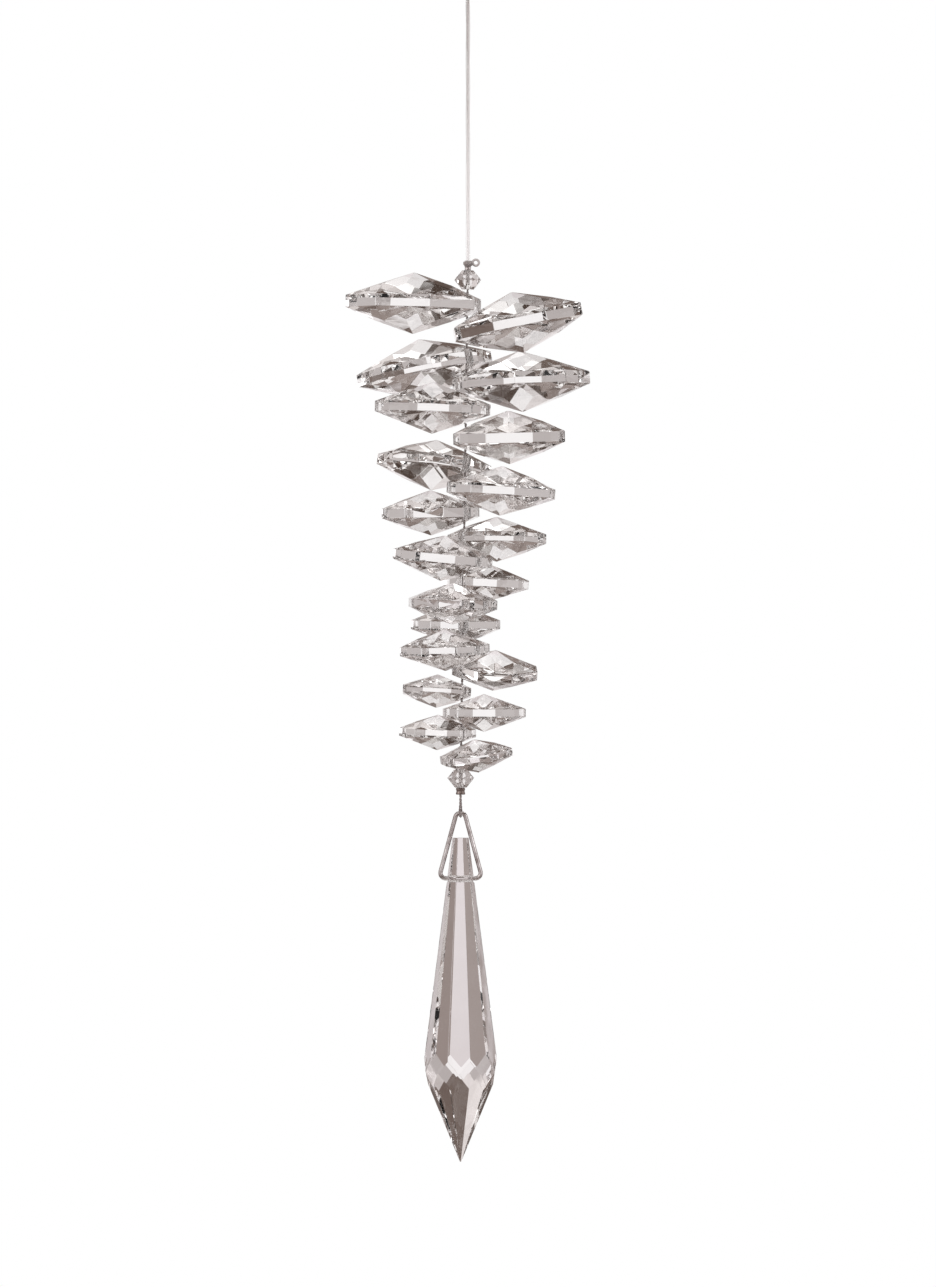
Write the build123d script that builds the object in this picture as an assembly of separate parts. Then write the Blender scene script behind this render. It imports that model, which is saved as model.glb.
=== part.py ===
"""Hanging crystal ornament: octagon crystals strung on a thread, with an icicle drop below.

Millimetres, +Z up. The origin is the top of the space inside the hanging loop, where a hook bears.
The viewer stands on the -Y side, and headings turn from +X towards +Y, seen from above.
"""

from build123d import *
import os
from math import atan, atan2, cos, degrees, hypot, pi, radians, sin, tan

# Cord and hanging loop
CORD_DIAMETER = 1.0
LOOP_HALF_WIDTH = 3.6
LOOP_SHOULDER_DROP = 7.0
LOOP_KNOT_TOP = -14.2
LOOP_KNOT_RADIUS = 1.5
LOOP_KNOT_HEIGHT = 3.2
LOOP_KNOT_ROUNDING = 0.4
LOOP_LEG_OFFSET = 0.55
LOOP_STUB = 1.2  # upright stretch where each leg leaves the knot
LOOP_BEND_SHARE = 0.45  # of a run that each of its two bends may use
HOOK_BEND_GAP = 0.05  # what the round top leaves straight on each side

# Top of the string: knot with a curled tail, crimp and faceted bead
UPPER_KNOT_TOP = -86.2
UPPER_KNOT_RADIUS = 1.15
UPPER_KNOT_HEIGHT = 1.3
UPPER_KNOT_ROUNDING = 0.4
TAIL_DIAMETER = 0.55
TAIL_RING_RADIUS = 0.72
TAIL_RING_OFFSET = 1.85
TAIL_RING_RISE = 0.2  # above the middle of the knot
CRIMP_RADIUS = 0.75
CRIMP_HEIGHT = 0.9
BEAD_TOP = -88.5

# The thread inside the string leans a little, as the uneven crystals push it
THREAD_DIAMETER = 0.6
STRING_LEAN = 0.8  # degrees from upright

# Faceted beads
BEAD_RADIUS = 3.3
BEAD_HEIGHT = 4.5
BEAD_BORE_RADIUS = 0.5
BEAD_BELT_HALF = 0.7
BEAD_END_RADIUS = 1.35
BEAD_SIDES = 8
BEAD_PLAY = 0.05  # between the lower bead and the tube under it

# Octagon crystals
SMALLEST_GIRDLE_HALF = 0.86
GIRDLE_GROWTH = 0.54 / 14  # per millimetre across flats
CROWN_ANGLE = 19.7  # degrees, the kite facets from level
KITE_SHOULDER = 0.55  # of the corner radius, where neighbouring kites part
HOLE_RADIUS = 0.95
SIDES = 8
SMALLEST_FLATS = 16
STOCK_FACTOR = 1.2  # how much wider the blank is than the stone cut from it
SMALLEST_MARGIN = 2.3  # from the corner to the hole's centre
MARGIN_GROWTH = 1.0 / 14  # per millimetre across flats

# From the top: across flats, drop of the hole, heading, lift of the far end, roll about the heading
CRYSTALS = [
    (30, 96.6, -167, 1, -2),
    (30, 103.25, -22, 10, 6),
    (30, 109.05, 141, -9, -6),
    (30, 115.25, -6, 3, 0),
    (25, 121.3, -137, 1, -2),
    (26, 127.85, -23, 0, 4),
    (25, 134.0, 134, 1, 8),
    (24, 139.85, -33, -3, -2),
    (22, 145.2, 150, 0, -2),
    (22, 151.1, 33, -2, -2),
    (22, 156.3, -122, 1, -6),
    (19, 161.4, 48, -2, 2),
    (20, 166.6, -107, -1, -2),
    (20, 171.85, 102, 2, 0),
    (20, 177.1, -120, -3, 0),
    (20, 182.35, 24, 0, 10),
    (16, 187.3, 158, 1, 6),
    (18, 192.2, -44, 0, 0),
    (17, 197.2, 145, 2, 0),
    (16, 202.25, -56, 0, 10),
]

# Bottom of the string: bead, crimp tube and thread loop
LOWER_BEAD_TOP = -205.3
TUBE_RADIUS = 1.1
TUBE_BORE_RADIUS = 0.8
TUBE_HEIGHT = 1.6
TUBE_BOTTOM = LOWER_BEAD_TOP - BEAD_HEIGHT - BEAD_PLAY - TUBE_HEIGHT
STRAND_DIAMETER = 0.5
TUBE_CAP = 0.4  # closed top of the tube, where the thread comes through
THREAD_CLEARANCE = 0.15  # from the thread's end to the loop's ends, inside the tube
STRAND_OFFSET = 0.27
EYE_HALF_WIDTH = 1.0
EYE_NECK_DROP = 2.1
EYE_SHOULDER_DROP = 3.3
EYE_BEND = 1.6
EYE_BEND_GAP = 0.03  # what the eye's round bottom leaves straight on each side
EYE_CLEARANCE = 0.08  # between the wire and the strand under it
EYE_TURN = 78  # degrees, the plane of the eye from the front
STRAND_INSIDE = 0.6  # how far the loop's ends stand up inside the crimp tube

# Wire bail
WIRE_DIAMETER = 1.05
BAIL_TOP = -215.8  # the wire's centre where it hangs in the eye
BAIL_HEIGHT = 15.3
BAIL_TOP_HALF = 0.95
BAIL_TOP_BEND = 1.15
BAIL_FOOT_HALF = 5.1
BAIL_FOOT_BEND = 1.25
PIN_INNER = 1.2

# Icicle drop, measured from the axis of its hole
ICICLE_SIDES = 10
ICICLE_TURN = 15.5  # degrees, the heading of one long face
ICICLE_HOLE_RADIUS = 0.8
ICICLE_ABOVE = 9.75
ICICLE_BELOW = 66.3
ICICLE_TOP_RADIUS = 1.9
ICICLE_TAPER = 0.128
ICICLE_GIRDLE_RADIUS = 8.1
ICICLE_GIRDLE_LEVEL = -45.0
ICICLE_GIRDLE_LEAN = 8.5  # degrees
ICICLE_POINT_TAPER = 0.411
ICICLE_TIP_RADIUS = 0.15
PIN_REST = 0.2  # the hole's axis hangs this far below the pins


def string_x(z):
    """Where the leaning thread is at height z."""
    return (z - UPPER_KNOT_TOP) * tan(radians(STRING_LEAN))


def tube(path, diameter):
    """A round section swept along a path."""
    start = Plane(origin=path @ 0, z_dir=path % 0)
    return sweep(start * Circle(diameter / 2), path=path)


def cut_facets(stone, count, first, rise, reach):
    """Flat cuts all round: rise is each cut's normal above level, reach its distance from the centre."""
    for k in range(count):
        turn = radians(first + 360 / count * k)
        lift = radians(rise)
        normal = Vector(cos(lift) * cos(turn), cos(lift) * sin(turn), sin(lift))
        stone = split(stone, bisect_by=Plane(origin=normal * reach, z_dir=normal), keep=Keep.BOTTOM)
    return stone


def reach_of(rise, radius, height):
    """Distance from the centre of a cut that passes through a ring of that radius and height."""
    return radius * cos(radians(rise)) + height * sin(radians(rise))


def corner_radius(flats):
    return flats / 2 / cos(pi / SIDES)


def girdle_half(flats):
    return SMALLEST_GIRDLE_HALF + GIRDLE_GROWTH * (flats - SMALLEST_FLATS)


def hole_offset(flats):
    """From the crystal's centre to its hole, which is near one corner."""
    margin = SMALLEST_MARGIN + MARGIN_GROWTH * (flats - SMALLEST_FLATS)
    return corner_radius(flats) - margin


def octagon_crystal(flats):
    """An octagon with upright girdle faces, and kites and triangles above and below, drilled at a corner."""
    corner = corner_radius(flats)
    crown = corner * tan(radians(CROWN_ANGLE))
    girdle = girdle_half(flats)
    shoulder = KITE_SHOULDER * corner
    shoulder_height = crown * (1 - KITE_SHOULDER * cos(pi / SIDES))
    side_angle = degrees(atan(shoulder_height / (flats / 2 - shoulder)))
    outline = RegularPolygon(corner, SIDES)
    stone = extrude(outline, girdle + crown, both=True)
    kite_reach = reach_of(90 - CROWN_ANGLE, corner, girdle)
    side_reach = reach_of(90 - side_angle, flats / 2, girdle)
    for side in (1, -1):
        stone = cut_facets(stone, SIDES, 0, side * (90 - CROWN_ANGLE), kite_reach)
        stone = cut_facets(stone, SIDES, 180 / SIDES, side * (90 - side_angle), side_reach)
    hole = Pos(-hole_offset(flats), 0, 0) * Cylinder(HOLE_RADIUS, 2 * (girdle + crown))
    return Pos(hole_offset(flats), 0, 0) * (stone - hole)


def place_crystal(stone, drop, heading, lift, roll):
    """The hole's centre goes on the thread, and the crystal points away from it."""
    at = Pos(string_x(-drop), 0, -drop)
    return at * Rot(0, 0, heading) * Rot(0, -lift, 0) * Rot(roll, 0, 0) * stone


def faceted_bead():
    """A round bead cut flat all over, on its own centre."""
    rise = degrees(atan2(BEAD_RADIUS - BEAD_END_RADIUS, BEAD_HEIGHT / 2 - BEAD_BELT_HALF))
    bead = Cylinder(BEAD_RADIUS * STOCK_FACTOR, BEAD_HEIGHT)
    belt = BEAD_RADIUS * cos(pi / BEAD_SIDES)
    bead = cut_facets(bead, BEAD_SIDES, 180 / BEAD_SIDES, 0, belt)
    for side in (1, -1):
        reach = reach_of(90 - rise, BEAD_END_RADIUS, BEAD_HEIGHT / 2)
        bead = cut_facets(bead, BEAD_SIDES, 0, side * (90 - rise), reach)
    return bead - Cylinder(BEAD_BORE_RADIUS, BEAD_HEIGHT)


def knot_barrel(top, radius, height, rounding):
    """A tight knot as a rounded barrel below the height top."""
    barrel = Pos(0, 0, top - height / 2) * Cylinder(radius, height)
    return fillet(barrel.edges().filter_by(GeomType.CIRCLE), rounding)


def hanging_loop():
    """The loop of cord above the knot, with a round top the size of a small hook."""
    half = [
        (LOOP_LEG_OFFSET, 0, LOOP_KNOT_TOP),
        (LOOP_LEG_OFFSET, 0, LOOP_KNOT_TOP + LOOP_STUB),
        (LOOP_HALF_WIDTH, 0, -LOOP_SHOULDER_DROP),
        (LOOP_HALF_WIDTH, 0, CORD_DIAMETER / 2),
    ]
    other = [(-x, y, z) for x, y, z in reversed(half)]
    spread = LOOP_HALF_WIDTH - LOOP_LEG_OFFSET
    climb = -LOOP_SHOULDER_DROP - LOOP_KNOT_TOP - LOOP_STUB
    half_turn = atan2(spread, climb) / 2
    stub_bend = LOOP_BEND_SHARE * LOOP_STUB / tan(half_turn)
    shoulder_bend = LOOP_BEND_SHARE * hypot(spread, climb) / tan(half_turn)
    hook_bend = LOOP_HALF_WIDTH - HOOK_BEND_GAP
    bends = [stub_bend, shoulder_bend, hook_bend, hook_bend, shoulder_bend, stub_bend]
    print("hanging loop bends", [round(bend, 2) for bend in bends])
    return tube(FilletPolyline(*half, *other, radius=bends), CORD_DIAMETER)


def straight_cord():
    """The cord that carries the ornament, pulled straight."""
    bottom_of_knot = LOOP_KNOT_TOP - LOOP_KNOT_HEIGHT
    length = bottom_of_knot - UPPER_KNOT_TOP
    print("cord length", round(length, 1))
    return Pos(0, 0, (bottom_of_knot + UPPER_KNOT_TOP) / 2) * Cylinder(CORD_DIAMETER / 2, length)


def knot_tail():
    """The cord's end curled into a small ring beside the upper knot."""
    level = UPPER_KNOT_TOP - UPPER_KNOT_HEIGHT / 2 + TAIL_RING_RISE
    ring = Torus(TAIL_RING_RADIUS, TAIL_DIAMETER / 2)
    return Pos(TAIL_RING_OFFSET, 0, level) * Rot(90, 0, 0) * ring


def pendant_loop():
    """The thread's loop: two strands from the crimp tube round the top of the bail."""
    under_wire = BAIL_TOP - WIRE_DIAMETER / 2 - STRAND_DIAMETER / 2 - EYE_CLEARANCE
    half = [
        (STRAND_OFFSET, 0, TUBE_BOTTOM + STRAND_INSIDE),
        (STRAND_OFFSET, 0, TUBE_BOTTOM - EYE_NECK_DROP),
        (EYE_HALF_WIDTH, 0, TUBE_BOTTOM - EYE_SHOULDER_DROP),
        (EYE_HALF_WIDTH, 0, under_wire),
    ]
    other = [(-x, y, z) for x, y, z in reversed(half)]
    bottom_bend = EYE_HALF_WIDTH - EYE_BEND_GAP
    bends = [EYE_BEND, EYE_BEND, bottom_bend, bottom_bend, EYE_BEND, EYE_BEND]
    loop = tube(FilletPolyline(*half, *other, radius=bends), STRAND_DIAMETER)
    return Pos(string_x(TUBE_BOTTOM), 0, 0) * Rot(0, 0, EYE_TURN) * loop


def bail():
    """Wire bent to a narrow trapezium, with both ends turned in as pins. Its pins' axis is at height 0."""
    points = [
        (PIN_INNER, 0, 0),
        (BAIL_FOOT_HALF, 0, 0),
        (BAIL_TOP_HALF, 0, BAIL_HEIGHT),
        (-BAIL_TOP_HALF, 0, BAIL_HEIGHT),
        (-BAIL_FOOT_HALF, 0, 0),
        (-PIN_INNER, 0, 0),
    ]
    bends = [BAIL_FOOT_BEND, BAIL_TOP_BEND, BAIL_TOP_BEND, BAIL_FOOT_BEND]
    return tube(FilletPolyline(*points, radius=bends), WIRE_DIAMETER)


def icicle():
    """Ten long faces, a ring of kites, and ten faces to the point, drilled across its neck."""
    half_turn = 180 / ICICLE_SIDES
    inner = cos(radians(half_turn))
    body_height = ICICLE_ABOVE + ICICLE_BELOW
    blank = Cylinder(ICICLE_GIRDLE_RADIUS * STOCK_FACTOR, body_height)
    stone = Pos(0, 0, ICICLE_ABOVE - body_height / 2) * blank
    long_rise = degrees(atan(ICICLE_TAPER * inner))
    long_reach = reach_of(long_rise, ICICLE_TOP_RADIUS * inner, ICICLE_ABOVE)
    stone = cut_facets(stone, ICICLE_SIDES, ICICLE_TURN, long_rise, long_reach)
    point_rise = -degrees(atan(ICICLE_POINT_TAPER * inner))
    point_reach = reach_of(point_rise, ICICLE_TIP_RADIUS, -ICICLE_BELOW)
    stone = cut_facets(stone, ICICLE_SIDES, ICICLE_TURN, point_rise, point_reach)
    kite_reach = reach_of(-ICICLE_GIRDLE_LEAN, ICICLE_GIRDLE_RADIUS, ICICLE_GIRDLE_LEVEL)
    stone = cut_facets(stone, ICICLE_SIDES, ICICLE_TURN + half_turn, -ICICLE_GIRDLE_LEAN, kite_reach)
    hole = Rot(0, 90, 0) * Cylinder(ICICLE_HOLE_RADIUS, 2 * ICICLE_GIRDLE_RADIUS)
    return stone - hole


def crimps(thread):
    """The crimp under the knot, and the tube under the lower bead, both closed on the thread."""
    upper_top = UPPER_KNOT_TOP - UPPER_KNOT_HEIGHT
    upper_bottom = upper_top - CRIMP_HEIGHT
    upper_middle = Pos(string_x(upper_bottom), 0, (upper_top + upper_bottom) / 2)
    upper = upper_middle * Cylinder(CRIMP_RADIUS, CRIMP_HEIGHT)
    lower_middle = Pos(string_x(TUBE_BOTTOM), 0, TUBE_BOTTOM + TUBE_HEIGHT / 2)
    bore = Pos(0, 0, -TUBE_CAP) * Cylinder(TUBE_BORE_RADIUS, TUBE_HEIGHT)
    lower = lower_middle * (Cylinder(TUBE_RADIUS, TUBE_HEIGHT) - bore)
    return upper - thread, lower - thread


def all_nodes():
    """Every piece by name, where it is on the finished ornament."""
    upper_knot = knot_barrel(UPPER_KNOT_TOP, UPPER_KNOT_RADIUS, UPPER_KNOT_HEIGHT, UPPER_KNOT_ROUNDING)
    thread_top = UPPER_KNOT_TOP - UPPER_KNOT_HEIGHT
    thread_bottom = TUBE_BOTTOM + STRAND_INSIDE + THREAD_CLEARANCE
    thread_line = Line((string_x(thread_top), 0, thread_top), (string_x(thread_bottom), 0, thread_bottom))
    thread = tube(thread_line, THREAD_DIAMETER)
    upper_crimp, lower_crimp = crimps(thread)
    nodes = {
        "hanging_loop": hanging_loop(),
        "loop_knot": knot_barrel(LOOP_KNOT_TOP, LOOP_KNOT_RADIUS, LOOP_KNOT_HEIGHT, LOOP_KNOT_ROUNDING),
        "hanging_cord": straight_cord(),
        "upper_knot": upper_knot,
        "knot_tail": knot_tail() - upper_knot,
        "string_thread": thread,
        "upper_crimp": upper_crimp,
        "lower_crimp": lower_crimp,
        "pendant_loop": pendant_loop(),
    }

    bead = faceted_bead()
    for name, top in (("upper_bead", BEAD_TOP), ("lower_bead", LOWER_BEAD_TOP)):
        middle = top - BEAD_HEIGHT / 2
        nodes[name] = Pos(string_x(middle), 0, middle) * bead

    stones = {}
    for number, (flats, drop, heading, lift, roll) in enumerate(CRYSTALS, start=1):
        if flats not in stones:
            stones[flats] = octagon_crystal(flats)
        nodes[f"crystal_{number:02d}"] = place_crystal(stones[flats], drop, heading, lift, roll)

    pins = BAIL_TOP - BAIL_HEIGHT
    nodes["bail"] = Pos(string_x(TUBE_BOTTOM), 0, pins) * bail()
    nodes["icicle"] = Pos(string_x(TUBE_BOTTOM), 0, pins - PIN_REST) * icicle()
    return nodes


def main():
    os.makedirs("parts", exist_ok=True)
    for name, shape in all_nodes().items():
        export_step(shape, f"parts/{name}.step")


main()
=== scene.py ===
"""Hanging crystal ornament: looks, cords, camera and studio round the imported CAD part."""
import math

import bmesh
import bpy
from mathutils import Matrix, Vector


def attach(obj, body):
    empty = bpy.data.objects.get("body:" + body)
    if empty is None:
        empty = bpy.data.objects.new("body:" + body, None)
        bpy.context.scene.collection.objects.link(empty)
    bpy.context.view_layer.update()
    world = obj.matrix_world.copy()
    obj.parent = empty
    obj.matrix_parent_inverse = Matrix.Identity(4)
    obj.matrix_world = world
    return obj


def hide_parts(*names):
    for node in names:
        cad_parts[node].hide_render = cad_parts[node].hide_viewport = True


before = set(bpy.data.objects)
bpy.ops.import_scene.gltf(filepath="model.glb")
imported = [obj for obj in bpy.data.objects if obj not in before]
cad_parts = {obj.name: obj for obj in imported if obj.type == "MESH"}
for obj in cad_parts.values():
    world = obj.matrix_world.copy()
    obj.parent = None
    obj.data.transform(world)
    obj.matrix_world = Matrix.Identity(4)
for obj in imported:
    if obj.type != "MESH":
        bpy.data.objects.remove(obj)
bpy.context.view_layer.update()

MM = 0.001

# ---------------------------------------------------------------- camera
CAMERA_DISTANCE = 1.0
CAMERA_HEIGHT = -0.176
CAMERA_LENS = 119.2
SENSOR = 36.0


def make_camera():
    """A level camera in front of the middle of what is seen."""
    data = bpy.data.cameras.new("camera")
    data.lens = CAMERA_LENS
    data.sensor_width = SENSOR
    cam = bpy.data.objects.new("camera", data)
    cam.location = (0, -CAMERA_DISTANCE, CAMERA_HEIGHT)
    cam.rotation_euler = (math.radians(90), 0, 0)
    bpy.context.scene.collection.objects.link(cam)
    bpy.context.scene.camera = cam


make_camera()

# ---------------------------------------------------------------- places, the CAD's own, in metres
LOOP_KNOT_TOP = -0.0142
LOOP_KNOT_BOTTOM = -0.0174
UPPER_KNOT_TOP = -0.0862
UPPER_KNOT_BOTTOM = -0.0875
UPPER_CRIMP_MIDDLE = -0.08795
UPPER_CRIMP_BOTTOM = -0.0884
THREAD_TOP = -0.0875
THREAD_BOTTOM = -0.2107
TUBE_MIDDLE = -0.21065  # of the lower crimp
TUBE_BOTTOM = -0.21145
STRING_LEAN = math.radians(0.8)
EYE_TURN = math.radians(78)  # the pendant loop's plane, from the front
HANGING_CORD = [(0, 0, -0.0862), (0, 0, -0.0802), (0, 0, -0.0234), (0, 0, -0.0174)]
HANGING_LOOP = [
    (0.00055, 0, -0.0142), (0.00055, 0, -0.0130), (0.0036, 0, -0.0070), (0.0036, 0, 0.0005),
    (-0.0036, 0, 0.0005), (-0.0036, 0, -0.0070), (-0.00055, 0, -0.0130), (-0.00055, 0, -0.0142),
]
PENDANT_LOOP = [  # across the loop's own plane and up, in millimetres
    (0.27, -210.85), (0.27, -213.55), (1.0, -214.75), (1.0, -216.655),
    (-1.0, -216.655), (-1.0, -214.75), (-0.27, -213.55), (-0.27, -210.85),
]


def string_x(z):
    """Where the leaning thread is at height z, in metres."""
    return (z - UPPER_KNOT_TOP) * math.tan(STRING_LEAN)


# ---------------------------------------------------------------- lines
def read_route(points, steps):
    """Dense points along the smooth spline with these control points."""
    curve = bpy.data.curves.new("route", "CURVE")
    curve.dimensions = "3D"
    curve.resolution_u = steps
    spline = curve.splines.new("NURBS")
    spline.points.add(len(points) - 1)
    for point, co in zip(spline.points, points):
        point.co = (*co, 1)
    spline.order_u = 3
    spline.use_endpoint_u = True
    holder = bpy.data.objects.new("route", curve)
    bpy.context.scene.collection.objects.link(holder)
    bpy.context.view_layer.update()
    mesh = bpy.data.meshes.new_from_object(holder)
    found = [v.co.copy() for v in mesh.vertices]
    bpy.data.objects.remove(holder)
    bpy.data.curves.remove(curve)
    bpy.data.meshes.remove(mesh)
    return found


def tangents(line):
    """The line's direction at each of its points."""
    last = len(line) - 1
    return [(line[min(i + 1, last)] - line[max(i - 1, 0)]).normalized() for i in range(len(line))]


def frames(line):
    """A pair of cross directions at each point, carried along without twist."""
    along = tangents(line)
    side = along[0].orthogonal().normalized()
    pairs = []
    for t in along:
        side = (side - t * side.dot(t)).normalized()
        pairs.append((side, t.cross(side)))
    return pairs


def lengths(line):
    """How far along the line each of its points is."""
    run = [0.0]
    for a, b in zip(line, line[1:]):
        run.append(run[-1] + (b - a).length)
    return run


def plies(line, count, offset, pitch, start=0.0):
    """The centre lines of strands laid round a line."""
    pairs = frames(line)
    run = lengths(line)
    strands = []
    for k in range(count):
        strand = []
        for point, (u, v), s in zip(line, pairs, run):
            turn = start + math.tau * (k / count + s / pitch)
            strand.append(point + (u * math.cos(turn) + v * math.sin(turn)) * offset)
        strands.append(strand)
    return strands


# ---------------------------------------------------------------- meshes
LATHE_SIDES = 48
PINCH_POWER = 4  # how sharply a squeezed tube's flats set in
PINCH_SPREAD = 0.12  # how much of the squeeze comes out at its sides


def finish_mesh(name, bm, smooth):
    """An object made from the bmesh, which is used up."""
    mesh = bpy.data.meshes.new(name)
    bm.to_mesh(mesh)
    bm.free()
    for face in mesh.polygons:
        face.use_smooth = smooth
    obj = bpy.data.objects.new(name, mesh)
    bpy.context.scene.collection.objects.link(obj)
    return obj


def tube_object(name, strands, sides=12):
    """One mesh of round strands. Each strand is (points, radius), or (points, list of radii)."""
    bm = bmesh.new()
    for line, radius in strands:
        radii = radius if isinstance(radius, list) else [radius] * len(line)
        rings = []
        for point, (u, v), r in zip(line, frames(line), radii):
            ring = []
            for k in range(sides):
                turn = math.tau * k / sides
                ring.append(bm.verts.new(point + (u * math.cos(turn) + v * math.sin(turn)) * r))
            rings.append(ring)
        for a, b in zip(rings, rings[1:]):
            for k in range(sides):
                n = (k + 1) % sides
                bm.faces.new((a[k], a[n], b[n], b[k]))
        bm.faces.new(list(reversed(rings[0])))
        bm.faces.new(rings[-1])
    bmesh.ops.recalc_face_normals(bm, faces=bm.faces)
    return finish_mesh(name, bm, True)


def lathe(name, profile, middle, pinch, lean=0.0):
    """A ring turned from a closed profile, its axis leaning and its front and back squeezed flat.

    profile is (radius, height from the middle) in millimetres.
    """
    bm = bmesh.new()
    rings = []
    for k in range(LATHE_SIDES):
        turn = math.tau * k / LATHE_SIDES
        press = 1 - pinch * abs(math.sin(turn)) ** PINCH_POWER
        ring = []
        for radius, height in profile:
            r, h = radius * MM, height * MM
            x = r * math.cos(turn) * (1 + pinch * PINCH_SPREAD) + math.tan(lean) * h
            y = r * press * math.sin(turn)
            ring.append(bm.verts.new((middle[0] + x, middle[1] + y, middle[2] + h)))
        rings.append(ring)
    count = len(profile)
    for k in range(LATHE_SIDES):
        a = rings[k]
        b = rings[(k + 1) % LATHE_SIDES]
        for j in range(count):
            n = (j + 1) % count
            bm.faces.new((a[j], a[n], b[n], b[j]))
    bmesh.ops.recalc_face_normals(bm, faces=bm.faces)
    return finish_mesh(name, bm, True)


# ---------------------------------------------------------------- cords
PLY_COUNT = 3
PLY_OFFSET = 0.26 * MM
PLY_RADIUS = 0.29 * MM
PLY_PITCH = 42 * MM
PLY_START = -0.5
CORD_STEPS = 110
LOOP_STEPS = 40


def laid_cord(name, line):
    """The cord's strands laid round a line."""
    strands = plies(line, PLY_COUNT, PLY_OFFSET, PLY_PITCH, PLY_START)
    return tube_object(name, [(strand, PLY_RADIUS) for strand in strands])


cord_line = read_route(HANGING_CORD, CORD_STEPS)
cord = laid_cord("hanging_cord_plies", cord_line)
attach(cord, "root")
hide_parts("hanging_cord")

loop_line = read_route(HANGING_LOOP, LOOP_STEPS)
loop = laid_cord("hanging_loop_plies", loop_line)
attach(loop, "root")
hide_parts("hanging_loop")

# ---------------------------------------------------------------- knots
WRAP_STEPS = 48  # in one turn
CORE_STEPS = 12
CORE_OVERLAP = 0.2  # this and the next three are shares of the strand's radius
BRIDGE_BULGE = 0.35
BRIDGE_INSET = 0.9
BRIDGE_RADIUS = 0.8
BRIDGE_STEPS = 24
BRIDGE_FROM = -110  # degrees round the knot, as is the next
BRIDGE_SWEEP = 95


def wraps(radius, top, bottom, turns):
    """The centre line of a strand wound down an upright axis."""
    line = []
    total = int(WRAP_STEPS * turns)
    for i in range(total + 1):
        f = i / total
        turn = math.tau * turns * f
        z = top + (bottom - top) * f
        line.append(Vector((radius * math.cos(turn), radius * math.sin(turn), z)))
    return line


def knot_piece(name, node, top, bottom, outer, strand, turns):
    """A wound knot: turns round a core, one strand laid across them, and the core itself."""
    ring = outer - strand
    winding = wraps(ring, top - strand, bottom + strand, turns)
    core = [Vector((0, 0, top + (bottom - top) * i / CORE_STEPS)) for i in range(CORE_STEPS + 1)]
    inset = strand * BRIDGE_INSET
    bridge = []
    for i in range(BRIDGE_STEPS + 1):
        f = i / BRIDGE_STEPS
        bulge = ring + strand * BRIDGE_BULGE * math.sin(math.pi * f)
        turn = math.radians(BRIDGE_FROM + BRIDGE_SWEEP * f)
        z = top - inset + (bottom - top + inset * 2) * f
        bridge.append(Vector((bulge * math.cos(turn), bulge * math.sin(turn), z)))
    piece = tube_object(name, [
        (winding, strand), (core, ring - strand * CORE_OVERLAP), (bridge, strand * BRIDGE_RADIUS)])
    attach(piece, "root")
    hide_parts(node)
    return piece


loop_knot = knot_piece("loop_knot_winding", "loop_knot", LOOP_KNOT_TOP, LOOP_KNOT_BOTTOM,
                       outer=1.5 * MM, strand=0.48 * MM, turns=3.2)
upper_knot = knot_piece("upper_knot_winding", "upper_knot", UPPER_KNOT_TOP, UPPER_KNOT_BOTTOM,
                        outer=1.15 * MM, strand=0.30 * MM, turns=2.4)

# ---------------------------------------------------------------- knot's curled tail
TAIL_CENTRE = Vector((1.85 * MM, 0, -86.65 * MM))
TAIL_STEPS = 60
TAIL_FROM = 200  # degrees in the front plane, as is the next
TAIL_SWEEP = -385
TAIL_RING = 0.76
TAIL_TIGHTENS = 0.10  # by its tip, in millimetres, as are the ring's radius and the next
TAIL_DEPTH = 0.30
TAIL_STRAND = 0.27 * MM
TAIL_TIP_STEPS = 6
TAIL_TAPER = 0.02 * MM  # at each of those steps

tail_line = []
for i in range(TAIL_STEPS + 1):
    f = i / TAIL_STEPS
    turn = math.radians(TAIL_FROM + TAIL_SWEEP * f)
    r = (TAIL_RING - TAIL_TIGHTENS * f) * MM
    y = TAIL_DEPTH * (f - 0.5) * MM
    tail_line.append(TAIL_CENTRE + Vector((r * math.cos(turn), y, r * math.sin(turn))))
tail_radii = [TAIL_STRAND] * (len(tail_line) - TAIL_TIP_STEPS)
tail_radii += [TAIL_STRAND - TAIL_TAPER * k for k in range(TAIL_TIP_STEPS)]
tail = tube_object("knot_tail_curl", [(tail_line, tail_radii)])
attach(tail, "root")
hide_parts("knot_tail")

# ---------------------------------------------------------------- threads
THREAD_SIDES = 8
THREAD_RADIUS = 0.155 * MM
THREAD_OFFSET = 0.145 * MM
THREAD_PITCH = 2.0 * MM
THREAD_STEPS = 150
THREAD_STOPS = (0, 0.05, 0.95, 1)  # where its control points are, as shares of its length
EYE_RADIUS = 0.13 * MM
EYE_OFFSET = 0.12 * MM
EYE_PITCH = 1.7 * MM
EYE_STEPS = 24


def laid_thread(name, line, radius, offset, pitch):
    """Two thin strands laid round a line."""
    strands = plies(line, 2, offset, pitch)
    return tube_object(name, [(strand, radius) for strand in strands], THREAD_SIDES)


thread_heights = [THREAD_TOP + (THREAD_BOTTOM - THREAD_TOP) * stop for stop in THREAD_STOPS]
thread_line = read_route([(string_x(z), 0, z) for z in thread_heights], THREAD_STEPS)
thread = laid_thread("string_thread_plies", thread_line, THREAD_RADIUS, THREAD_OFFSET, THREAD_PITCH)
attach(thread, "root")
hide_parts("string_thread")

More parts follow.
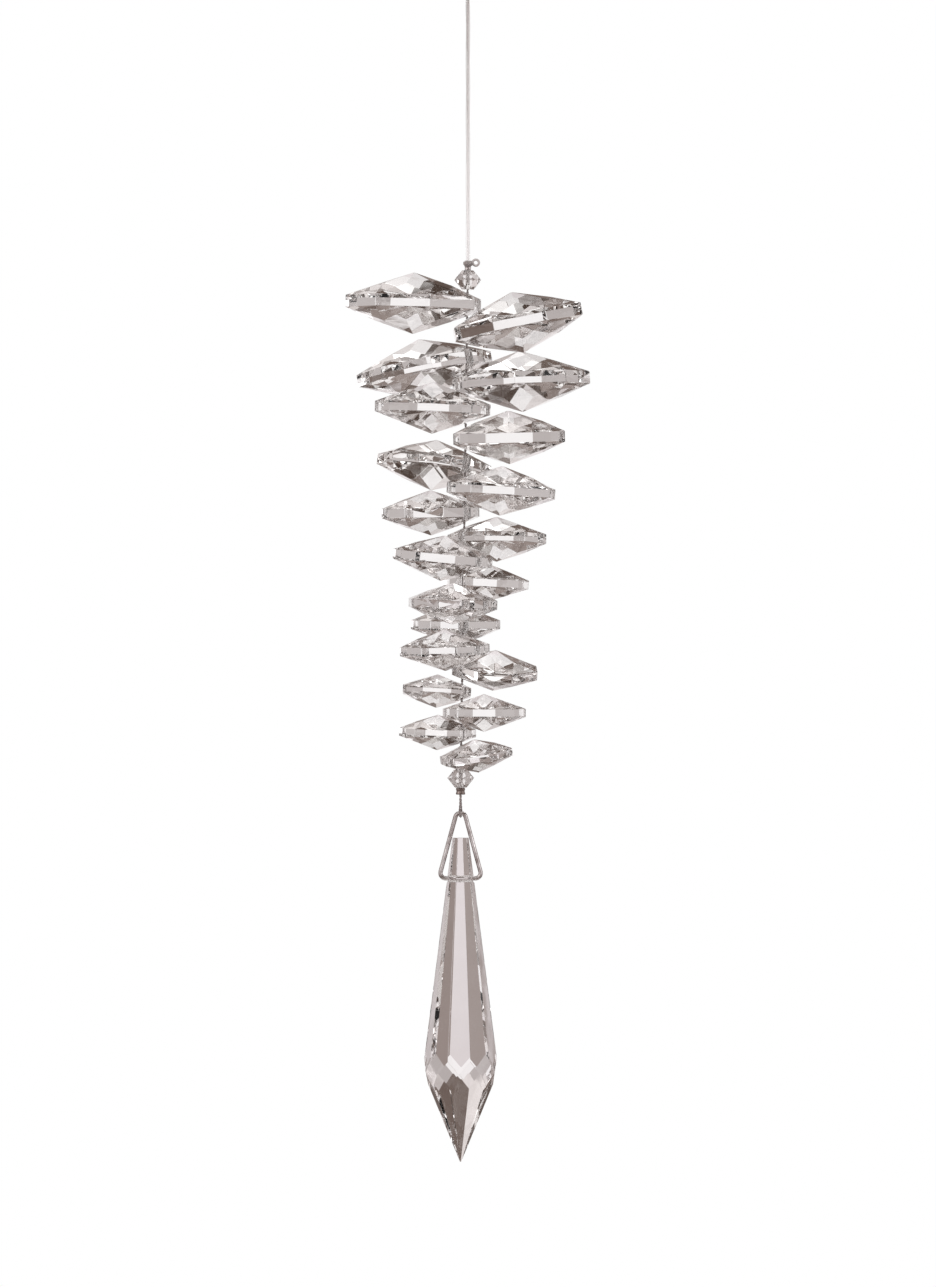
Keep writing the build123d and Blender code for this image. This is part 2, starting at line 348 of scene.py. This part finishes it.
pendant_x = string_x(TUBE_BOTTOM)
eye_line = read_route(
    [(pendant_x + u * MM * math.cos(EYE_TURN), u * MM * math.sin(EYE_TURN), z * MM)
     for u, z in PENDANT_LOOP], EYE_STEPS)
eye = laid_thread("pendant_loop_plies", eye_line, EYE_RADIUS, EYE_OFFSET, EYE_PITCH)
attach(eye, "pendant_loop")
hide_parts("pendant_loop")

# ---------------------------------------------------------------- crimps
UPPER_CRIMP_PROFILE = [
    (0.34, 0.43), (0.58, 0.44), (0.70, 0.38), (0.74, 0.24), (0.70, 0.12), (0.70, -0.12),
    (0.74, -0.24), (0.70, -0.38), (0.58, -0.44), (0.34, -0.43),
]
LOWER_CRIMP_PROFILE = [
    (0.36, 0.78), (0.80, 0.79), (1.02, 0.72), (1.09, 0.55), (1.06, 0.35), (0.98, 0.18),
    (0.96, -0.10), (1.03, -0.35), (1.09, -0.55), (1.07, -0.74), (0.98, -0.79), (0.86, -0.74),
    (0.82, -0.4), (0.80, 0.30), (0.36, 0.36),
]

crimp = lathe("upper_crimp_pressed", UPPER_CRIMP_PROFILE,
              (string_x(UPPER_CRIMP_BOTTOM), 0, UPPER_CRIMP_MIDDLE), pinch=0.16, lean=STRING_LEAN)
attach(crimp, "root")
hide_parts("upper_crimp")

lower = lathe("lower_crimp_pressed", LOWER_CRIMP_PROFILE,
              (string_x(TUBE_BOTTOM), 0, TUBE_MIDDLE), pinch=0.10)
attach(lower, "root")
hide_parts("lower_crimp")

# ---------------------------------------------------------------- node helpers
MIX_A, MIX_B, MIX_RESULT = 6, 7, 2  # a Mix node's colour sockets, whose names repeat


class Nodes:
    """Adds nodes to a tree. A value fed to a socket is a number, a colour or another socket."""

    def __init__(self, tree):
        self.tree = tree

    def add(self, kind, **values):
        node = self.tree.nodes.new(kind)
        for key, value in values.items():
            setattr(node, key, value)
        return node

    def link(self, a, b):
        self.tree.links.new(a, b)

    def feed(self, socket, value):
        if isinstance(value, bpy.types.NodeSocket):
            self.link(value, socket)
        else:
            socket.default_value = value

    def math(self, operation, a, b=0.0, c=0.0):
        node = self.add("ShaderNodeMath", operation=operation)
        for socket, value in zip(node.inputs, (a, b, c)):
            self.feed(socket, value)
        return node.outputs[0]

    def smooth(self, value, low, high, to_low=0.0, to_high=1.0):
        node = self.add("ShaderNodeMapRange", interpolation_type="SMOOTHSTEP")
        for name, v in (("Value", value), ("From Min", low), ("From Max", high),
                        ("To Min", to_low), ("To Max", to_high)):
            self.feed(node.inputs[name], v)
        return node.outputs[0]

    def noise(self, scale, detail, stretch=None):
        """Noise in the object's own space. stretch below 1 draws it out along an axis."""
        node = self.add("ShaderNodeTexNoise")
        node.inputs["Scale"].default_value = scale
        node.inputs["Detail"].default_value = detail
        vector = self.add("ShaderNodeTexCoord").outputs["Object"]
        if stretch is not None:
            mapping = self.add("ShaderNodeMapping")
            mapping.inputs["Scale"].default_value = stretch
            self.link(vector, mapping.inputs["Vector"])
            vector = mapping.outputs[0]
        self.link(vector, node.inputs["Vector"])
        return node.outputs["Fac"]

    def ramp(self, value, stops):
        """A colour ramp. stops are (position, colour)."""
        node = self.add("ShaderNodeValToRGB")
        elements = node.color_ramp.elements
        while len(elements) < len(stops):
            elements.new(0.5)
        for element, (position, colour) in zip(elements, stops):
            element.position = position
            element.color = (*colour, 1)
        self.feed(node.inputs[0], value)
        return node.outputs[0]

    def mix(self, factor, a, b):
        node = self.add("ShaderNodeMix", data_type="RGBA")
        self.feed(node.inputs["Factor"], factor)
        for index, value in ((MIX_A, a), (MIX_B, b)):
            self.feed(node.inputs[index],
                      value if isinstance(value, bpy.types.NodeSocket) else (*value, 1))
        return node.outputs[MIX_RESULT]


def material(name):
    mat = bpy.data.materials.new(name)
    mat.use_nodes = True
    nodes = Nodes(mat.node_tree)
    shader = mat.node_tree.nodes["Principled BSDF"]
    return mat, nodes, shader


def bump(nodes, shader, height, strength, distance):
    node = nodes.add("ShaderNodeBump")
    node.inputs["Strength"].default_value = strength
    node.inputs["Distance"].default_value = distance
    nodes.link(height, node.inputs["Height"])
    nodes.link(node.outputs[0], shader.inputs["Normal"])


# ---------------------------------------------------------------- materials
def glass(name, light, deep, ior, wave):
    """Cut crystal: almost clear, with faint streaks in the melt, polish marks and a wavy face."""
    mat, nodes, shader = material(name)
    streak = nodes.noise(scale=90, detail=2, stretch=(1, 1, 0.35))
    nodes.link(nodes.ramp(streak, [(0.30, deep), (0.70, light)]), shader.inputs["Base Color"])
    marks = nodes.noise(scale=2600, detail=2, stretch=(1, 1, 0.12))
    polish = nodes.smooth(marks, low=0.55, high=0.80, to_high=0.05)
    nodes.link(polish, shader.inputs["Roughness"])
    shader.inputs["Transmission Weight"].default_value = 1.0
    shader.inputs["IOR"].default_value = ior
    bump(nodes, shader, nodes.noise(scale=150, detail=1), strength=wave, distance=0.4 * MM)
    return mat


def metal(name, bright, dull, rough, grain):
    """Plated metal with drawing marks and darker tarnish where dirt gathers."""
    mat, nodes, shader = material(name)
    patches = nodes.noise(scale=420, detail=4)
    nodes.link(nodes.ramp(patches, [(0.35, dull), (0.62, bright)]), shader.inputs["Base Color"])
    scratch = nodes.noise(scale=5200, detail=3, stretch=grain)
    nodes.link(nodes.smooth(scratch, 0.35, 0.70, *rough), shader.inputs["Roughness"])
    shader.inputs["Metallic"].default_value = 1.0
    bump(nodes, shader, scratch, strength=0.25, distance=0.02 * MM)
    return mat


def twine(name, pale, dark):
    """Spun fibre: fine streaks along the plies, darker between them."""
    mat, nodes, shader = material(name)
    fibre = nodes.noise(scale=9000, detail=3, stretch=(1, 1, 0.16))
    mottle = nodes.noise(scale=700, detail=3)
    mixed = nodes.math("MULTIPLY_ADD", fibre, 0.6, nodes.math("MULTIPLY", mottle, 0.5))
    nodes.link(nodes.ramp(mixed, [(0.25, dark), (0.62, pale)]), shader.inputs["Base Color"])
    fuzz = nodes.smooth(fibre, low=0.3, high=0.7, to_low=0.45, to_high=0.70)
    nodes.link(fuzz, shader.inputs["Roughness"])
    shader.inputs["Sheen Weight"].default_value = 0.2
    shader.inputs["Sheen Roughness"].default_value = 0.4
    bump(nodes, shader, fibre, strength=0.6, distance=0.04 * MM)
    return mat


def nylon(name, pale, dark, clear, body):
    """Nylon line, more or less clear, with faint draw lines.

    body is the least and most of the light that each surface stops.
    """
    mat, nodes, shader = material(name)
    draw = nodes.noise(scale=6000, detail=2, stretch=(1, 1, 0.03))
    tone = nodes.noise(scale=300, detail=2, stretch=(1, 1, 0.2))
    mixed = nodes.math("MULTIPLY_ADD", draw, 0.6, nodes.math("MULTIPLY", tone, 0.4))
    nodes.link(nodes.ramp(mixed, [(0.35, dark), (0.62, pale)]), shader.inputs["Base Color"])
    gloss = nodes.smooth(draw, low=0.3, high=0.7, to_low=0.12, to_high=0.24)
    nodes.link(gloss, shader.inputs["Roughness"])
    shader.inputs["Transmission Weight"].default_value = clear
    shader.inputs["IOR"].default_value = 1.12
    nodes.link(nodes.smooth(tone, 0.3, 0.7, *body), shader.inputs["Alpha"])
    bump(nodes, shader, draw, strength=0.3, distance=0.02 * MM)
    return mat


CRYSTAL = glass("cut_crystal", light=(0.992, 0.985, 0.985), deep=(0.955, 0.943, 0.940),
                ior=1.54, wave=0.10)
BEAD = glass("bead_crystal", light=(0.955, 0.940, 0.938), deep=(0.865, 0.840, 0.838),
             ior=1.54, wave=0.06)
ICICLE = glass("icicle_crystal", light=(0.965, 0.945, 0.948), deep=(0.925, 0.900, 0.902),
               ior=1.52, wave=0.14)
WIRE = metal("plated_wire", bright=(0.80, 0.77, 0.77), dull=(0.42, 0.37, 0.36),
             rough=(0.08, 0.30), grain=(1, 1, 0.1))
SILVERED = metal("silvered_crimp", bright=(0.86, 0.83, 0.83), dull=(0.40, 0.35, 0.34),
                 rough=(0.12, 0.34), grain=(1, 1, 0.3))
DARKENED = metal("darkened_crimp", bright=(0.36, 0.30, 0.28), dull=(0.10, 0.07, 0.06),
                 rough=(0.22, 0.45), grain=(1, 1, 0.3))
CORD = nylon("cord_nylon", pale=(0.98, 0.94, 0.94), dark=(0.90, 0.85, 0.85),
             clear=0.90, body=(0.28, 0.36))
KNOTTED = nylon("knotted_nylon", pale=(0.90, 0.86, 0.85), dark=(0.62, 0.56, 0.55),
                clear=0.45, body=(0.75, 0.90))
THREAD = twine("thread_fibre", pale=(0.52, 0.47, 0.46), dark=(0.14, 0.10, 0.09))


def dress(obj, mat):
    """Give a new piece its one material."""
    obj.data.materials.clear()
    obj.data.materials.append(mat)


for piece in (cord, loop):
    dress(piece, CORD)
for piece in (loop_knot, upper_knot, tail):
    dress(piece, KNOTTED)
for piece in (thread, eye):
    dress(piece, THREAD)
dress(crimp, SILVERED)
dress(lower, DARKENED)

# ---------------------------------------------------------------- CAD nodes that stay
LARGE_EDGE = 0.07 * MM  # bevel on the crystals and the icicle
BEAD_EDGE = 0.04 * MM
EDGE_ANGLE = math.radians(4)  # between two facets, from which their edge is bevelled
WELD_GAP = 0.002 * MM


def cad_look(name):
    """A CAD node's material and the bevel on its cut edges, or None if a new piece replaces it."""
    if name.startswith("crystal_"):
        return CRYSTAL, LARGE_EDGE
    if name.endswith("_bead"):
        return BEAD, BEAD_EDGE
    return {"icicle": (ICICLE, LARGE_EDGE), "bail": (WIRE, 0)}.get(name)


def bevel_edges(obj, width):
    weld = obj.modifiers.new("weld", "WELD")
    weld.merge_threshold = WELD_GAP
    bevel = obj.modifiers.new("bevel", "BEVEL")
    bevel.width = width
    bevel.segments = 1
    bevel.limit_method = "ANGLE"
    bevel.angle_limit = EDGE_ANGLE


for name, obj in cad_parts.items():
    look = cad_look(name)
    if look is None:
        continue
    mat, edge = look
    for socket in obj.material_slots:
        socket.material = mat
    if edge:
        bevel_edges(obj, edge)

# ---------------------------------------------------------------- studio
FLOOR_LEVEL = -0.50
FLOOR_SIDES = 96
FLOOR_RADIUS = 0.42
FLOOR_FADE = 0.18  # from here out to its rim the floor thins to nothing
PAPER = (0.92, 0.91, 0.90)
PAPER_SHADE = (0.86, 0.85, 0.84)
LIGHTS = [  # name, place, what it faces, size, power, colour
    ("key", (-0.9, -0.9, 0.35), (0, 0, -0.15), (0.7, 0.7), 2.6, (1.0, 0.98, 0.96)),
    ("fill", (1.0, -0.5, 0.05), (0, 0, -0.18), (0.5, 0.9), 1.6, (0.97, 0.98, 1.0)),
    ("rim", (0.6, 0.75, 0.75), (0, 0, -0.15), (0.5, 0.4), 1.4, (1.0, 1.0, 1.0)),
]


def make_floor():
    bm = bmesh.new()
    bmesh.ops.create_circle(bm, cap_ends=True, segments=FLOOR_SIDES, radius=FLOOR_RADIUS)
    for vert in bm.verts:
        vert.co.z = FLOOR_LEVEL
    floor = finish_mesh("floor", bm, False)
    mat, nodes, shader = material("floor_paper")
    grain = nodes.noise(scale=60, detail=3)
    nodes.link(nodes.ramp(grain, [(0.3, PAPER_SHADE), (0.7, PAPER)]), shader.inputs["Base Color"])
    shader.inputs["Roughness"].default_value = 0.9
    spot = nodes.add("ShaderNodeVectorMath", operation="MULTIPLY")
    nodes.link(nodes.add("ShaderNodeTexCoord").outputs["Object"], spot.inputs[0])
    spot.inputs[1].default_value = (1, 1, 0)
    reach = nodes.add("ShaderNodeVectorMath", operation="LENGTH")
    nodes.link(spot.outputs[0], reach.inputs[0])
    solid = nodes.smooth(reach.outputs["Value"], low=FLOOR_RADIUS, high=FLOOR_FADE)
    nodes.link(solid, shader.inputs["Alpha"])
    dress(floor, mat)


def area_light(name, place, target, size, power, colour):
    data = bpy.data.lights.new(name, "AREA")
    data.shape = "RECTANGLE"
    data.size, data.size_y = size
    data.energy = power
    data.color = colour
    lamp = bpy.data.objects.new(name, data)
    lamp.location = place
    facing = Vector(target) - Vector(place)
    lamp.rotation_euler = facing.to_track_quat("-Z", "Y").to_euler()
    bpy.context.scene.collection.objects.link(lamp)


# ---------------------------------------------------------------- the room that the glass gathers
WHITE = (1.0, 1.0, 1.0)
PEARL = (0.97, 0.95, 0.95)
SHELL = (0.80, 0.75, 0.73)
SILVER = (0.50, 0.46, 0.45)
TAUPE = (0.31, 0.255, 0.235)
UMBER = (0.155, 0.115, 0.098)
LOW_DARK = (0.070, 0.048, 0.038)
HIGH_DARK = (0.065, 0.045, 0.036)
# Heights are the sine of the elevation, from -1 straight down to 1 straight up.
BANDS = [  # height, and the light that the panels give there
    (-1.00, (0.44, 0.41, 0.40)),
    (-0.90, (0.42, 0.38, 0.37)),
    (-0.82, LOW_DARK),
    (-0.46, LOW_DARK),
    (-0.38, (0.44, 0.395, 0.39)),
    (-0.14, (0.92, 0.87, 0.88)),
    (-0.10, PEARL),
    (0.09, PEARL),
    (0.13, (0.80, 0.75, 0.74)),
    (0.40, SHELL),
    (0.51, SHELL),
    (0.56, HIGH_DARK),
    (0.78, HIGH_DARK),
    (0.85, (1.40, 1.38, 1.36)),
    (1.00, (1.0, 0.97, 0.96)),
]
GAPS = [  # height, and what the gaps between the panels hold there
    (-0.14, TAUPE), (-0.10, SILVER), (0.10, SILVER), (0.14, UMBER),
]
PANELS = 5  # round the room, in each of two rows
LOWER_EDGE = (0.25, 0.45)  # cosine at which a panel of the lower row starts, and is full
UPPER_EDGE = (0.05, -0.25)  # the same for the upper row
UPPER_TURN = math.radians(15)
UPPER_ROW = (0.10, 0.14)  # height at which the upper row takes over
CLOSED_RING = (0.51, 0.56)  # height, up or down, from which there are no gaps


def by_height(stops):
    """Stops given by height, placed on a ramp's own scale from 0 to 1."""
    return [(height * 0.5 + 0.5, colour) for height, colour in stops]


def make_world():
    """White to the eye. What the glass gathers is two rows of pale panels with dark gaps."""
    world = bpy.data.worlds.new("studio")
    world.use_nodes = True
    bpy.context.scene.world = world
    tree = world.node_tree
    tree.nodes.clear()
    nodes = Nodes(tree)
    direction = nodes.add("ShaderNodeTexCoord").outputs["Generated"]
    axes = nodes.add("ShaderNodeSeparateXYZ")
    nodes.link(direction, axes.inputs[0])
    x, y, z = axes.outputs

    heading = nodes.math("ARCTAN2", x, y)
    lower_lobes = nodes.math("COSINE", nodes.math("MULTIPLY", heading, PANELS))
    lower = nodes.smooth(lower_lobes, *LOWER_EDGE)
    turned = nodes.math("SUBTRACT", heading, UPPER_TURN)
    upper_lobes = nodes.math("COSINE", nodes.math("MULTIPLY", turned, PANELS))
    upper = nodes.smooth(upper_lobes, *UPPER_EDGE)
    high = nodes.smooth(z, *UPPER_ROW)
    rows = nodes.math("ADD", nodes.math("MULTIPLY", lower, nodes.math("SUBTRACT", 1.0, high)),
                      nodes.math("MULTIPLY", upper, high))
    ring = nodes.smooth(nodes.math("ABSOLUTE", z), *CLOSED_RING)
    panel = nodes.math("MAXIMUM", rows, ring)

    height = nodes.math("MULTIPLY_ADD", z, 0.5, 0.5)
    bands = nodes.ramp(height, by_height(BANDS))
    gaps = nodes.ramp(height, by_height(GAPS))
    gathered = nodes.mix(panel, gaps, bands)
    path = nodes.add("ShaderNodeLightPath")
    picked = nodes.mix(path.outputs["Is Camera Ray"], gathered, WHITE)
    background = nodes.add("ShaderNodeBackground")
    nodes.link(picked, background.inputs["Color"])
    output = nodes.add("ShaderNodeOutputWorld")
    nodes.link(background.outputs[0], output.inputs["Surface"])


make_floor()
make_world()
for light in LIGHTS:
    area_light(*light)

# ---------------------------------------------------------------- how light is followed
GLASS_BOUNCES = 24
GLOSS_BOUNCES = 12

scene = bpy.context.scene
scene.view_settings.view_transform = "Standard"
scene.cycles.max_bounces = GLASS_BOUNCES
scene.cycles.transmission_bounces = GLASS_BOUNCES
scene.cycles.glossy_bounces = GLOSS_BOUNCES
scene.cycles.caustics_refractive = True
scene.cycles.caustics_reflective = True
